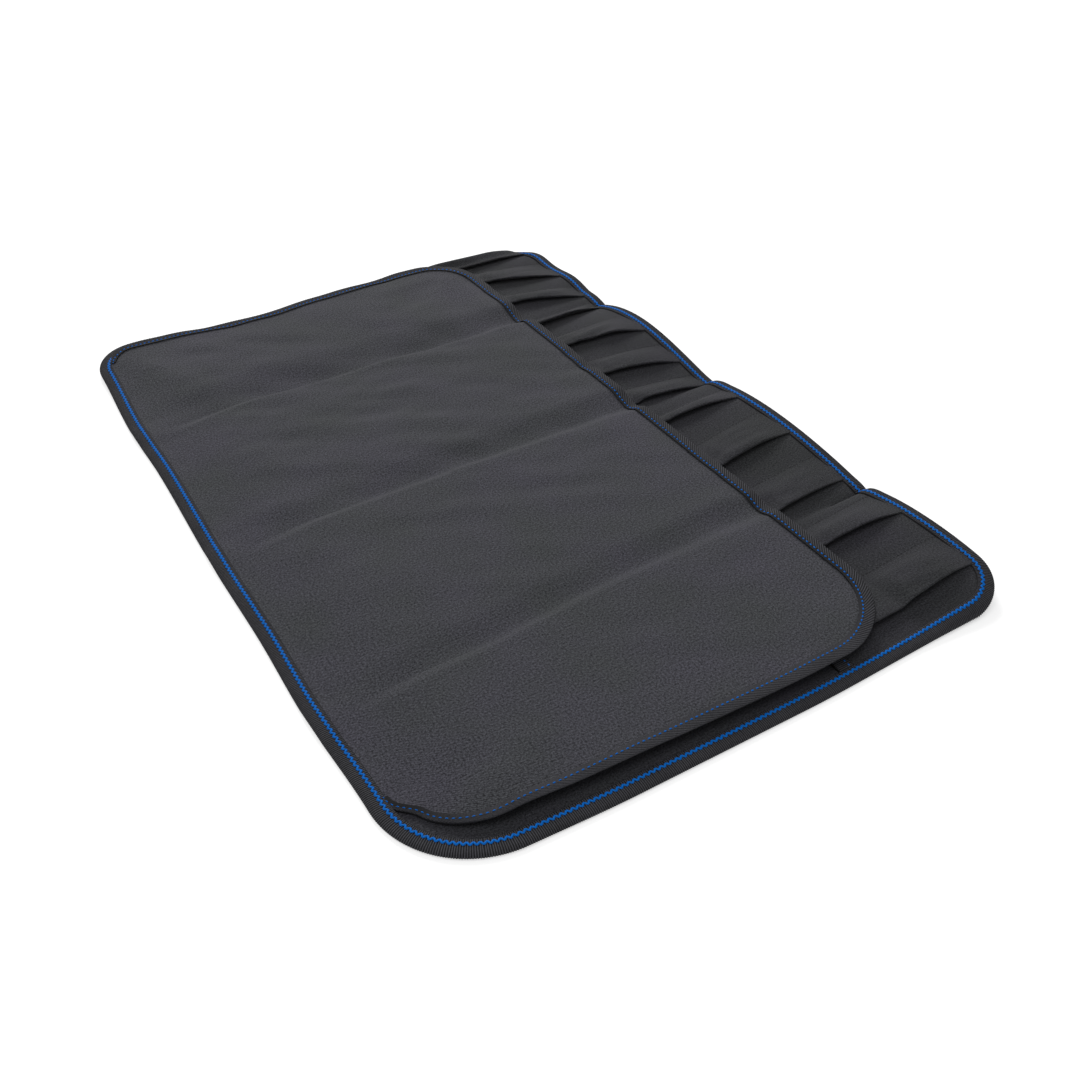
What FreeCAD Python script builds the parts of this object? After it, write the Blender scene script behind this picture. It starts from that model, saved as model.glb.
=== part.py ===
import FreeCAD, Part
import math
import os

# Folding tool roll, laid open on a table with its cover flap closed, in millimetres.
# X runs from the edge that the flap is sewn to, towards the edge that the pockets end at.
# Y runs along the roll, across its three creases. Z is up, and the roll lies on z = 0.
# The origin is the middle of the roll's underside. Panels and pockets are numbered along +Y.

# ---------------------------------------------------------------- driving dimensions
MAT_WIDTH = 402.0  # X, over the edge tape
MAT_LENGTH = 576.0  # Y, over the edge tape
OUTER_PANEL = 126.0  # Y, from an end of the roll to the nearest crease
CORNER_RADIUS = 48.0
CREASE_GAP = 0.4  # between the pieces on the two sides of a crease

CLOTH = 0.6  # one layer of pocket or flap cloth
BACK_CLOTH = 1.2  # shell and lining of the back together
TAPE = 0.4  # one layer of edge tape
TAPE_WIDTH = 11.0
TAPE_BEVEL = 0.5  # bevel where the tape turns over an edge

POCKET_DEPTH = 134.0  # X, from the pockets' mouth to the outside of the edge tape
OUTER_PANEL_POCKETS = 2
INNER_PANEL_POCKETS = 4
POCKET_ROOM = 6.5  # clear height inside a pocket
SEAM_FLANGE = 3.0  # cloth that lies flat beside a seam
RISER_RUN = 2.0  # Y, over which a pocket rises from its flange
PLEAT_GAP = 0.15  # air between the layers of a pleat
PLEAT_LAP_MOUTH = 0.5  # half the overlap of a pleat at the mouth, where it hangs open
PLEAT_LAP_FLOOR = 7.0  # half the overlap where the edge tape holds the pleat flat
PLEAT_PLACE = 0.55  # place of a pleat across its pocket, as a share of the free cloth

FLAP_REACH = 330.0  # X, from the hinge-side edge of the roll to the flap's free edge
FLAP_INSET = 12.0  # from the other edges of the roll
FLAP_CORNER_RADIUS = 42.0
FLAP_ROOT = 11.0  # X, flat strip beside the hinge line
FLAP_RISE_RUN = 49.0  # X, over which the flap climbs to the level of the pockets
FLAP_TAPE_START = 14.0  # X, from the hinge line to the ends of the flap's tape

SEAT = 0.3  # clearance under a piece that moves

# ---------------------------------------------------------------- sizes that follow
X_HINGE_EDGE = -MAT_WIDTH / 2
X_POCKET_EDGE = MAT_WIDTH / 2
Y_NEAR = -MAT_LENGTH / 2
Y_FAR = MAT_LENGTH / 2
X_HINGE = X_HINGE_EDGE + TAPE_WIDTH
X_MOUTH = X_POCKET_EDGE - POCKET_DEPTH
X_CORNER = X_POCKET_EDGE - CORNER_RADIUS
CREASES = (Y_NEAR + OUTER_PANEL, 0.0, Y_FAR - OUTER_PANEL)
PANEL_EDGES = (Y_NEAR,) + CREASES + (Y_FAR,)
PANELS = range(1, len(PANEL_EDGES))

PLEAT_STEP = CLOTH + PLEAT_GAP  # from one layer of a pleat to the next
LAYER = CLOTH / 2  # middle of a layer that lies on the back
MOUTH_LEVEL = POCKET_ROOM + TAPE + LAYER  # middle of the cloth over the back, at the mouth
BODY_LEVEL = POCKET_ROOM + LAYER  # the same, past the mouth tape
POCKET_TOP = BACK_CLOTH + MOUTH_LEVEL + 2 * PLEAT_STEP + LAYER + TAPE

SIDE_SLOT_TOP = BACK_CLOTH + CLOTH
POCKET_SLOT_TOP = BACK_CLOTH + CLOTH + 2 * PLEAT_STEP
EDGE_TOP = POCKET_SLOT_TOP + TAPE

FLAP_BOTTOM = POCKET_TOP + SEAT + TAPE
FLAP_ROOT_BOTTOM = BACK_CLOTH + SEAT
ROLL_HEIGHT = FLAP_BOTTOM + CLOTH + TAPE
X_FLAP_FREE = X_HINGE_EDGE + FLAP_REACH

# The flap turns about this height, so that opened flat it lies just clear of the table.
FLAP_HINGE_HEIGHT = (ROLL_HEIGHT + SEAT) / 2
# An outer panel folds over to lie just clear of the inner one, and the two stacks likewise.
OUTER_FOLD_HEIGHT = ROLL_HEIGHT + SEAT / 2
CENTRE_FOLD_HEIGHT = 2 * OUTER_FOLD_HEIGHT + SEAT / 2


# ---------------------------------------------------------------- shapes
def box(x0, x1, y0, y1, z0, z1):
    return Part.makeBox(x1 - x0, y1 - y0, z1 - z0, FreeCAD.Vector(x0, y0, z0))


def rounded_prism(x0, x1, y0, y1, radius_low, radius_high, z0, z1):
    """Upright prism on a rectangle, with one radius at its low-X corners and one at its high-X corners."""
    corners = (
        (x0, y0, radius_low, 180.0),
        (x1, y0, radius_high, 270.0),
        (x1, y1, radius_high, 0.0),
        (x0, y1, radius_low, 90.0),
    )
    arcs = []
    for x, y, radius, start in corners:
        centre_x = x + radius if x == x0 else x - radius
        centre_y = y + radius if y == y0 else y - radius
        points = []
        for turn in (0.0, 45.0, 90.0):
            angle = math.radians(start + turn)
            points.append(
                FreeCAD.Vector(
                    centre_x + radius * math.cos(angle),
                    centre_y + radius * math.sin(angle),
                    z0,
                )
            )
        arcs.append(points)
    edges = []
    for index, points in enumerate(arcs):
        following = arcs[(index + 1) % len(arcs)]
        edges.append(Part.Arc(*points).toShape())
        edges.append(Part.makeLine(points[2], following[0]))
    face = Part.Face(Part.Wire(edges))
    return face.extrude(FreeCAD.Vector(0, 0, z1 - z0))


def roll_prism(inset, z0, z1):
    """The roll's outline, moved inwards by inset."""
    radius = CORNER_RADIUS - inset
    return rounded_prism(
        X_HINGE_EDGE + inset,
        X_POCKET_EDGE - inset,
        Y_NEAR + inset,
        Y_FAR - inset,
        radius,
        radius,
        z0,
        z1,
    )


def flap_prism(inset):
    """The flap's outline, moved inwards by inset, over the roll's whole height."""
    return rounded_prism(
        X_HINGE_EDGE + FLAP_INSET + inset,
        X_FLAP_FREE - inset,
        Y_NEAR + FLAP_INSET + inset,
        Y_FAR - FLAP_INSET - inset,
        CORNER_RADIUS - FLAP_INSET - inset,
        FLAP_CORNER_RADIUS - inset,
        0.0,
        ROLL_HEIGHT + SEAT,
    )


def panel_limits(panel):
    """The two Y limits of a panel's pieces, half a crease gap away from each crease."""
    low, high = PANEL_EDGES[panel - 1], PANEL_EDGES[panel]
    if low != Y_NEAR:
        low += CREASE_GAP / 2
    if high != Y_FAR:
        high -= CREASE_GAP / 2
    return low, high


def panel_part(solid, panel):
    """What lies of a solid inside one panel."""
    low, high = panel_limits(panel)
    bounds = solid.BoundBox
    return solid.common(box(bounds.XMin - 1, bounds.XMax + 1, low, high, bounds.ZMin - 1, bounds.ZMax + 1))


def band(path, half):
    """Closed outline of a strip of the given half thickness along a path of (y, z) points, with mitred turns."""
    normals = []
    for (y0, z0), (y1, z1) in zip(path, path[1:]):
        length = math.hypot(y1 - y0, z1 - z0)
        normals.append((-(z1 - z0) / length, (y1 - y0) / length))
    left, right = [], []
    for index, (y, z) in enumerate(path):
        before = normals[max(index - 1, 0)]
        after = normals[min(index, len(normals) - 1)]
        scale = half / (1.0 + before[0] * after[0] + before[1] * after[1])
        shift_y = (before[0] + after[0]) * scale
        shift_z = (before[1] + after[1]) * scale
        left.append((y + shift_y, z + shift_z))
        right.append((y - shift_y, z - shift_z))
    return left + right[::-1]


def section(outline, x):
    """Wire of a closed (y, z) outline in the plane at x."""
    points = [FreeCAD.Vector(x, y, z) for y, z in outline]
    return Part.makePolygon(points + points[:1])


def extruded(outline, x0, x1):
    return Part.Face(section(outline, x0)).extrude(FreeCAD.Vector(x1 - x0, 0, 0))


def facet(*points):
    return Part.Face(Part.makePolygon(points + points[:1]))


def tapered(outline0, x0, outline1, x1):
    """Solid between two outlines of as many points, with flat facets for its sides."""
    first = [FreeCAD.Vector(x0, y, z) for y, z in outline0]
    last = [FreeCAD.Vector(x1, y, z) for y, z in outline1]
    faces = [facet(*first), facet(*last)]
    for index, start in enumerate(first):
        following = (index + 1) % len(first)
        faces.append(facet(start, first[following], last[following]))
        faces.append(facet(start, last[following], last[index]))
    solid = Part.makeSolid(Part.makeShell(faces))
    if solid.Volume < 0:
        solid.reverse()
    return solid.removeSplitter()


# ---------------------------------------------------------------- pockets
def pocket_list():
    """(number, panel, low Y, high Y) of each pocket, seam to seam."""
    pockets = []
    for panel in PANELS:
        low, high = PANEL_EDGES[panel - 1], PANEL_EDGES[panel]
        count = OUTER_PANEL_POCKETS if panel in (PANELS[0], PANELS[-1]) else INNER_PANEL_POCKETS
        pitch = (high - low) / count
        for index in range(count):
            pockets.append((len(pockets) + 1, panel, low + index * pitch, low + (index + 1) * pitch))
    return pockets


def cloth_ends(low, high):
    """Where a pocket's cloth ends: inside the side tape, at a crease, or at the next pocket's seam."""
    start = low + TAPE if low == Y_NEAR else low + (CREASE_GAP / 2 if low in CREASES else 0.0)
    end = high - TAPE if high == Y_FAR else high - (CREASE_GAP / 2 if high in CREASES else 0.0)
    return start, end


def flange_ends(low, high, side_flange):
    """Where the flat flanges end and the pocket rises. Beside the side tape a flange is side_flange wide."""
    near = low + (side_flange if low == Y_NEAR else SEAM_FLANGE)
    far = high - (side_flange if high == Y_FAR else SEAM_FLANGE)
    return near, far


def pleat_middle(near, far):
    first, last = near + RISER_RUN, far - RISER_RUN
    return first + PLEAT_PLACE * (last - first)


def pocket_path(low, high, side_flange, level, lap):
    """Middle line of one pocket's cloth across the roll, with a knife pleat whose fold faces -Y."""
    start, end = cloth_ends(low, high)
    near, far = flange_ends(low, high, side_flange)
    middle = pleat_middle(near, far)
    flat = BACK_CLOTH + LAYER
    under = BACK_CLOTH + level
    over = under + 2 * PLEAT_STEP
    return [
        (start, flat),
        (near, flat),
        (near + RISER_RUN, under),
        (middle + lap, under),
        (middle + lap, under + PLEAT_STEP),
        (middle - lap, under + PLEAT_STEP),
        (middle - lap, over),
        (far - RISER_RUN, over),
        (far, flat),
        (end, flat),
    ]


SIDE_FLANGE = TAPE_WIDTH + RISER_RUN  # past the side tape, where the pocket stands open
CORNER_FLANGE = CORNER_RADIUS - TAPE_WIDTH  # past the tape's corner, where the pocket is held flat
X_CLOTH_EDGE = X_MOUTH + TAPE
X_MOUTH_TAPE_END = X_MOUTH + TAPE_WIDTH
X_HELD_FLAT = X_POCKET_EDGE - TAPE_WIDTH - RISER_RUN


def pocket_front(low, high):
    """Pleated front of one pocket: it stands open at the mouth and is pressed flat under the edge tape."""
    mouth = band(pocket_path(low, high, SIDE_FLANGE, MOUTH_LEVEL, PLEAT_LAP_MOUTH), CLOTH / 2)
    deep = band(
        pocket_path(low, high, SIDE_FLANGE, BODY_LEVEL, PLEAT_LAP_MOUTH + PLEAT_LAP_FLOOR / 2), CLOTH / 2
    )
    held = band(pocket_path(low, high, CORNER_FLANGE, LAYER, PLEAT_LAP_FLOOR), CLOTH / 2)
    pieces = [
        extruded(mouth, X_CLOTH_EDGE, X_MOUTH_TAPE_END),
        tapered(mouth, X_MOUTH_TAPE_END, deep, X_CORNER),
        tapered(deep, X_CORNER, held, X_HELD_FLAT),
        extruded(held, X_HELD_FLAT, X_POCKET_EDGE),
    ]
    front = pieces[0].fuse(pieces[1:]).removeSplitter()
    return front.common(roll_prism(TAPE, 0.0, ROLL_HEIGHT))


def mouth_tape_blank(low, high):
    """Tape over one pocket's mouth before the cloth is taken out of it, with a block round the pleat's turns."""
    path = pocket_path(low, high, SIDE_FLANGE, MOUTH_LEVEL, PLEAT_LAP_MOUTH)
    near, far = flange_ends(low, high, SIDE_FLANGE)
    middle = pleat_middle(near, far)
    under, over = path[2][1], path[7][1]
    simple = path[:3] + [(middle, under), (middle, over)] + path[7:]
    half = CLOTH / 2 + TAPE
    strip = extruded(band(simple, half), X_MOUTH, X_MOUTH_TAPE_END)
    reach = PLEAT_LAP_MOUTH + half
    block = box(X_MOUTH, X_MOUTH_TAPE_END, middle - reach, middle + reach, under - half, over + half)
    return strip.fuse(block)


def mouth_tape(panel, fronts):
    """One panel's length of mouth tape, sewn over the mouths of its pockets and ending at the side tape."""
    blanks = [mouth_tape_blank(low, high) for number, owner, low, high in pocket_list() if owner == panel]
    whole = blanks[0].fuse(blanks[1:])
    low, high = panel_limits(panel)
    low = max(low, Y_NEAR + TAPE_WIDTH)
    high = min(high, Y_FAR - TAPE_WIDTH)
    whole = whole.common(box(X_MOUTH - 1, X_MOUTH_TAPE_END + 1, low, high, BACK_CLOTH, ROLL_HEIGHT))
    return whole.cut(fronts)


# ---------------------------------------------------------------- back, edge tape and flap
def back():
    """Shell and lining of the back. Its rim is thinner by the tape that is turned under it."""
    return roll_prism(TAPE_WIDTH, 0.0, BACK_CLOTH).fuse(roll_prism(TAPE, TAPE, BACK_CLOTH))


def edge_tape():
    """Tape folded over the rim all round, with room for one layer of cloth, or for a pleat at the pockets' end."""
    outer = roll_prism(0.0, 0.0, EDGE_TOP)
    turned = [edge for edge in outer.Edges if edge.BoundBox.ZLength < TAPE]
    ring = outer.makeChamfer(TAPE_BEVEL, turned).cut(roll_prism(TAPE_WIDTH, -1.0, EDGE_TOP + 1.0))
    side_slot = roll_prism(TAPE, TAPE, SIDE_SLOT_TOP)
    pocket_slot = roll_prism(TAPE, TAPE, POCKET_SLOT_TOP).common(
        box(X_CORNER, X_POCKET_EDGE, Y_NEAR, Y_FAR, 0.0, EDGE_TOP)
    )
    return ring.cut([side_slot, pocket_slot])


def flap_hem():
    """Margin of the flap that is caught under the edge tape."""
    hem = roll_prism(TAPE, BACK_CLOTH, SIDE_SLOT_TOP)
    return hem.common(box(X_HINGE_EDGE, X_HINGE, Y_NEAR, Y_FAR, 0.0, EDGE_TOP))


def flap_layer(extra):
    """Sheet along the flap's rise, thicker than the cloth by extra on each side, wider than the roll."""
    x_root = X_HINGE + FLAP_ROOT
    x_level = x_root + FLAP_RISE_RUN
    low, high = FLAP_ROOT_BOTTOM - extra, FLAP_BOTTOM - extra
    thick = CLOTH + 2 * extra
    profile = [
        (X_HINGE, low),
        (x_root, low),
        (x_level, high),
        (X_FLAP_FREE, high),
        (X_FLAP_FREE, high + thick),
        (x_level, high + thick),
        (x_root, low + thick),
        (X_HINGE, low + thick),
    ]
    points = [FreeCAD.Vector(x, Y_NEAR, z) for x, z in profile]
    face = Part.Face(Part.makePolygon(points + points[:1]))
    return face.extrude(FreeCAD.Vector(0, MAT_LENGTH, 0))


def flap_cloth():
    return flap_layer(0.0).common(flap_prism(TAPE))


def flap_tape(cloth):
    """Tape folded over the flap's three free edges."""
    ring = flap_prism(0.0).cut(flap_prism(TAPE_WIDTH))
    free = box(X_HINGE + FLAP_TAPE_START, X_FLAP_FREE + 1, Y_NEAR, Y_FAR, 0.0, ROLL_HEIGHT + 1)
    return flap_layer(TAPE).common(ring).common(free).cut(cloth)


# ---------------------------------------------------------------- build
def export(name, shape):
    solids = shape.Solids
    result = solids[0] if len(solids) == 1 else Part.makeCompound(solids)
    result.exportStep("parts/" + name + ".step")
    print(name, len(solids), "solid" if len(solids) == 1 else "solids", round(result.Volume, 1), result.isValid())


def main():
    os.makedirs("parts", exist_ok=True)
    whole_back, whole_tape, whole_hem = back(), edge_tape(), flap_hem()
    whole_flap = flap_cloth()
    whole_flap_tape = flap_tape(whole_flap)
    fronts = {panel: [] for panel in PANELS}
    for number, panel, low, high in pocket_list():
        front = pocket_front(low, high)
        fronts[panel].append(front)
        export("pocket_front_%02d" % number, front)
    for panel in PANELS:
        export("back_panel_%d" % panel, panel_part(whole_back, panel))
        export("edge_tape_%d" % panel, panel_part(whole_tape, panel))
        export("mouth_tape_%d" % panel, mouth_tape(panel, fronts[panel]))
        export("flap_hem_%d" % panel, panel_part(whole_hem, panel))
        export("flap_panel_%d" % panel, panel_part(whole_flap, panel))
        export("flap_tape_%d" % panel, panel_part(whole_flap_tape, panel))
    print("height of the roll", round(ROLL_HEIGHT, 3))
    print("flap hinge line at x %.2f, z %.3f" % (X_HINGE, FLAP_HINGE_HEIGHT))
    print("outer creases turn at z %.3f, centre crease at z %.3f" % (OUTER_FOLD_HEIGHT, CENTRE_FOLD_HEIGHT))


main()
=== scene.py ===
# %% [markdown]
# # A folding tool roll, laid open with its cover flap closed
# The roll is a long cloth back, creased in three places so that it folds up like a letter. A row of
# pleated pockets is sewn on one side of it, and a cover flap is sewn to the other side and lies over
# the pockets' mouths. Ribbed tape binds every edge, held by a blue zigzag on the roll's rim and by a
# blue straight stitch on the flap.
# The imported model gives the bodies, the joints and the sizes. It is loaded first, and nothing in it
# is moved. Each panel's own pieces made below are parented to that panel's body.

# %% Load the imported model
import math

import bpy
import numpy as np
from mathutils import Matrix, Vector


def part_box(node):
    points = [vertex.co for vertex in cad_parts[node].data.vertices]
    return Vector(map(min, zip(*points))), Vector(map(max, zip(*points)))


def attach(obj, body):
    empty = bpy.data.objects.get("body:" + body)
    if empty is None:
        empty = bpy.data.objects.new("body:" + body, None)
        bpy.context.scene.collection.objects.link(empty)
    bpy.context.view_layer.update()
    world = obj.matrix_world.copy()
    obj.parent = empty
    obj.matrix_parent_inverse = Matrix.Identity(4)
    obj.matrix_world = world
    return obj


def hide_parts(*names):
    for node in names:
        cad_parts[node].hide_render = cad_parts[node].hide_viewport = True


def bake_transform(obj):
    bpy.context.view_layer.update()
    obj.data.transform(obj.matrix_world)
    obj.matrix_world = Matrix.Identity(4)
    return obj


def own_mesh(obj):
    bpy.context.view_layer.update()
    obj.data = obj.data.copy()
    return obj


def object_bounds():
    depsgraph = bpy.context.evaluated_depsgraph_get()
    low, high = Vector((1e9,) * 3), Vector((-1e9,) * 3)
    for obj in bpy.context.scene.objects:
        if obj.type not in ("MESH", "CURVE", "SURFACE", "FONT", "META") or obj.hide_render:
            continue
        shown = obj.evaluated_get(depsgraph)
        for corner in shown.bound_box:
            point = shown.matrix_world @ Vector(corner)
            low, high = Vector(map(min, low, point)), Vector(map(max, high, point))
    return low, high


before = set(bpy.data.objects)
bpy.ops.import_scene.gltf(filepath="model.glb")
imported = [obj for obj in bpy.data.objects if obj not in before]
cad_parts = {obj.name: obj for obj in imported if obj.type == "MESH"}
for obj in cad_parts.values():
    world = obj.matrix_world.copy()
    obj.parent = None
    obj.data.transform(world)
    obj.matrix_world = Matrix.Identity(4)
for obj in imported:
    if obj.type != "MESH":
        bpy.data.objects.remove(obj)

cad_low, cad_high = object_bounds()
print("packed model, mm:", [round(1000 * (b - a), 1) for a, b in zip(cad_low, cad_high)])

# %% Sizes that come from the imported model
MM = 0.001
BOX = {name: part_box(name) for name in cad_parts}
HINGE_EDGE, POCKET_EDGE = cad_low.x, cad_high.x
NEAR_EDGE, FAR_EDGE = cad_low.y, cad_high.y
HINGE = BOX["flap_hem_2"][1].x
MOUTH, MOUTH_TAPE_END = BOX["mouth_tape_2"][0].x, BOX["mouth_tape_2"][1].x
FLAP_EDGE = BOX["flap_tape_2"][1].x
FLAP_NEAR, FLAP_FAR = BOX["flap_tape_1"][0].y, BOX["flap_tape_4"][1].y
CREASES = [(BOX[f"back_panel_{p}"][1].y + BOX[f"back_panel_{p + 1}"][0].y) / 2 for p in (1, 2, 3)]
TAPE_WIDTH = HINGE - HINGE_EDGE
TAPE_START = POCKET_EDGE - TAPE_WIDTH
print("creases at y, mm:", [round(1000 * c, 1) for c in CREASES])

# %% [markdown]
# ## Camera, floor and light
# The camera stands near the hinge side's near corner and looks down across the roll. Camera, lens
# and floor come first, because every later choice of shape is judged from there.

# %% Camera
CAMERA_PLACE = (-0.3213, -0.5912, 0.470)
CAMERA_HEADING = math.atan2(0.522, 0.853)
CAMERA_PITCH = math.radians(38.5)
SENSOR_WIDTH, FOCAL_LENGTH = 36, 38.98


def new_object(name, data):
    """An object in the scene for this mesh, lamp or camera."""
    made = bpy.data.objects.new(name, data)
    bpy.context.scene.collection.objects.link(made)
    return made


lens = bpy.data.cameras.new("camera")
lens.sensor_width, lens.lens = SENSOR_WIDTH, FOCAL_LENGTH
lens.clip_start, lens.clip_end = 0.01, 20
camera = new_object("camera", lens)
camera.location = CAMERA_PLACE
camera.rotation_euler = (math.pi / 2 - CAMERA_PITCH, 0, -CAMERA_HEADING)
bpy.context.scene.camera = camera


# %% [markdown]
# Materials, the world and the rows of stitches are all trees of nodes. Two helpers build them: an
# input takes either a value or another node, whose first output in use is then linked to it.

# %% Node helpers
def feed(tree, socket, value):
    """Gives a socket a value, or a link from a socket or a node."""
    if isinstance(value, bpy.types.Node):
        value = next(output for output in value.outputs if output.enabled)
    if isinstance(value, bpy.types.NodeSocket):
        tree.links.new(value, socket)
    else:
        socket.default_value = value


def wire(tree, node, **settings):
    """Sets a node's properties and inputs by name, with _ for each space in an input's name."""
    for key, value in settings.items():
        name = key.replace("_", " ")
        if name in node.inputs:
            feed(tree, node.inputs[name], value)
        else:
            setattr(node, key, value)
    return node


def add(tree, kind, *values, **settings):
    """A new node, with settings by name and then the values of its first inputs."""
    node = wire(tree, tree.nodes.new(kind), **settings)
    for socket, value in zip(node.inputs, values):
        feed(tree, socket, value)
    return node


def mixed(tree, factor, a, b, blend_type="MIX"):
    return add(tree, "ShaderNodeMix", data_type="RGBA", blend_type=blend_type, Factor=factor, A=a, B=b)


def seen_by(tree, *rays):
    """A value that is 1 for a ray of one of these kinds and 0 for all others."""
    path = add(tree, "ShaderNodeLightPath")
    value = path.outputs[rays[0]]
    for ray in rays[1:]:
        value = add(tree, "ShaderNodeMath", value, path.outputs[ray], operation="MAXIMUM").outputs[0]
    return value


def new_material(name):
    """A material, its tree and its main shader."""
    material = bpy.data.materials.new(name)
    material.use_nodes = True
    return material, material.node_tree, material.node_tree.nodes["Principled BSDF"]


def colour(red, green, blue):
    """A display colour, 0 to 255, as the linear colour that a shader wants."""
    def linear(value):
        value /= 255
        return value / 12.92 if value <= 0.04045 else ((value + 0.055) / 1.055) ** 2.4
    return (linear(red), linear(green), linear(blue), 1.0)


# %% [markdown]
# The floor is one large pale plane. A diffuse floor under a plain light is never quite white, so
# what the camera sees of it gets a little of its own light, and the roll's soft shadow stays.

# %% Floor
FLOOR_GLOW = 0.55
FLOOR_REACH = 6.0
FLOOR_DROP = 0.2 * MM

floor_finish, tree, shader = new_material("floor_white")
wire(tree, shader, Base_Color=(0.8, 0.8, 0.8, 1), Roughness=0.9, Specular_IOR_Level=0.0)
seen = seen_by(tree, "Is Camera Ray", "Is Glossy Ray", "Is Transmission Ray")
dark, lit = (add(tree, "ShaderNodeEmission", Strength=glow) for glow in (0.0, FLOOR_GLOW))
glow = add(tree, "ShaderNodeMixShader", seen, dark, lit)
wire(tree, tree.nodes["Material Output"], Surface=add(tree, "ShaderNodeAddShader", shader, glow))

floor_mesh = bpy.data.meshes.new("floor")
floor_corners = [(x * FLOOR_REACH, y * FLOOR_REACH, 0) for x, y in ((-1, -1), (1, -1), (1, 1), (-1, 1))]
floor_mesh.from_pydata(floor_corners, [], [(0, 1, 2, 3)])
floor_mesh.materials.append(floor_finish)
floor = new_object("floor", floor_mesh)
floor.location.z = -FLOOR_DROP

# %% [markdown]
# The light is that of a white studio: an even sky, and a large soft lamp beyond the far end of the
# roll, high up. Coming from there it lights the side of each fold that faces away from the camera
# and leaves the side that faces the camera dark, which is what makes flat black cloth readable. The
# sky gives little light, but where the camera looks past the floor it is as white as a studio wall.

# %% Light
WHITE = (1, 1, 1, 1)
SKY_LIGHT = 0.315

world = bpy.data.worlds.new("studio")
world.use_nodes = True
tree = world.node_tree
sky = wire(tree, tree.nodes["Background"], Color=WHITE, Strength=SKY_LIGHT)
wall = add(tree, "ShaderNodeBackground", Color=WHITE, Strength=1.0)
choice = add(tree, "ShaderNodeMixShader", seen_by(tree, "Is Camera Ray", "Is Transmission Ray"), sky, wall)
wire(tree, tree.nodes["World Output"], Surface=choice)
bpy.context.scene.world = world


def soft_lamp(name, place, size, power):
    """A round lamp that faces the middle of the roll."""
    light = bpy.data.lights.new(name, "AREA")
    light.shape, light.size, light.energy = "DISK", size, power
    lamp = new_object(name, light)
    lamp.location = place
    lamp.rotation_mode = "QUATERNION"
    lamp.rotation_quaternion = (-Vector(place)).to_track_quat("-Z", "Y")


soft_lamp("far_lamp", (1.65, 5.1, 3.3), size=2.7, power=198)
soft_lamp("top_lamp", (-0.7, -0.3, 2.0), size=1.6, power=11)
bpy.context.scene.view_settings.view_transform = "Standard"
print("camera, floor and two lamps are in place")

# %% [markdown]
# ## How the cloth lies
# Everything is first worked out flat, as a maker cuts and sews it: a place on the roll (x, y) and a
# height above its underside. Three functions then lay it down. `rise` lifts the roll where it arches
# between its creases, most at the pocket side, where the pleats pull the rim up. `wander` lets the
# edges run a little out of true. `lay` puts both together, so that cloth, tape and stitches all
# follow one shape and stay on each other.

# %% Smooth curves
def ease(t):
    t = np.clip(t, 0.0, 1.0)
    return t * t * (3 - 2 * t)


def grow(x, start, length):
    """0 up to start and 1 from start + length on, smooth between them."""
    return ease((x - start) / length)


def fade(x, start, length):
    return 1 - grow(x, start, length)


def hump(x, middle, width):
    """1 at the middle, and hardly anything two widths away from it."""
    return np.exp(-((x - middle) / width) ** 2)


def through(x, *stops):
    """A smooth curve through (place, value) stops, level at each of them."""
    result = np.full(np.shape(x), float(stops[0][1]))
    for (a, u), (b, v) in zip(stops, stops[1:]):
        result = result + (v - u) * grow(x, a, b - a)
    return result


def unit(vectors):
    return vectors / np.maximum(np.linalg.norm(vectors, axis=-1, keepdims=True), 1e-12)


# %% Laying cloth down
# For each panel: how high its arch is in millimetres, which way it leans, and how blunt it is.
ARCHES = ((12.4, 1.05, 0.42), (12.2, 1.30, 0.50), (12.6, 1.40, 0.75), (6.0, 0.90, 0.75))
# At the pocket side the arches meet a little off the creases.
ARCH_EDGES = [NEAR_EDGE, CREASES[0], CREASES[1] + 4 * MM, CREASES[2] - 8 * MM, FAR_EDGE]
CURL_START = 105 * MM
CREASE_LIFT = 1.2 * MM
CORNER_LIFT, CORNER_REACH = 4.0 * MM, 90 * MM
# The last panel has waves on its arch. Crest and length are in millimetres along the roll.
WAVE_HEIGHT, WAVE_CREST, WAVE_LENGTH = 1.4 * MM, 488, 58
# The back stands up a little along each crease, which leaves the folded roll room for its creases.
CREASE_RIDGE, RIDGE_TOP, RIDGE_SLOPE = 0.75 * MM, 4 * MM, 14 * MM
# Places along the hinge side and along both ends, and how far out of true the cloth is there: the
# side in +X and the ends in +Y. All are in millimetres, from the near end and the hinge side.
SIDE_STOPS = ((60, 0.8), (140, -2.1), (205, -0.9), (280, -1.7), (400, 0.2), (460, -1.3), (540, 1.6),
              (570, 2.6))
NEAR_STOPS = ((25, 0), (125, -3.1), (235, -3.3), (345, -0.3))
FAR_STOPS = ((30, 11.5), (140, 6), (200, 12), (272, 15.5), (402, 7))
# Where those fade out, and where the far end's begins and how fast it grows.
SIDE_FADE, NEAR_FADE, FAR_START, FAR_GROWTH = 130, 110, 462, 100


def rise(x, y):
    """Height of the roll's underside above the floor."""
    lift = np.full(np.broadcast(x, y).shape, CREASE_LIFT)
    for (height, lean, blunt), low, high in zip(ARCHES, ARCH_EDGES, ARCH_EDGES[1:]):
        t = np.clip((y - low) / (high - low), 0, 1)
        lift = lift + height * MM * np.abs(np.sin(np.pi * t ** lean)) ** blunt * (t < 1)
    along = (y - NEAR_EDGE) / MM
    wave = np.cos(2 * np.pi * (along - WAVE_CREST) / WAVE_LENGTH)
    lift = lift + WAVE_HEIGHT * wave * grow(along, 455, 20) * fade(along, 545, 25)
    corner = np.hypot(x - HINGE_EDGE, FAR_EDGE - y)
    lift = lift * grow(x, CURL_START, POCKET_EDGE - CURL_START) + CORNER_LIFT * fade(corner, 0, CORNER_REACH)
    nearest = np.min([np.abs(y - c) for c in CREASES], 0)
    return lift + CREASE_RIDGE * fade(nearest, RIDGE_TOP, RIDGE_SLOPE)


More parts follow.
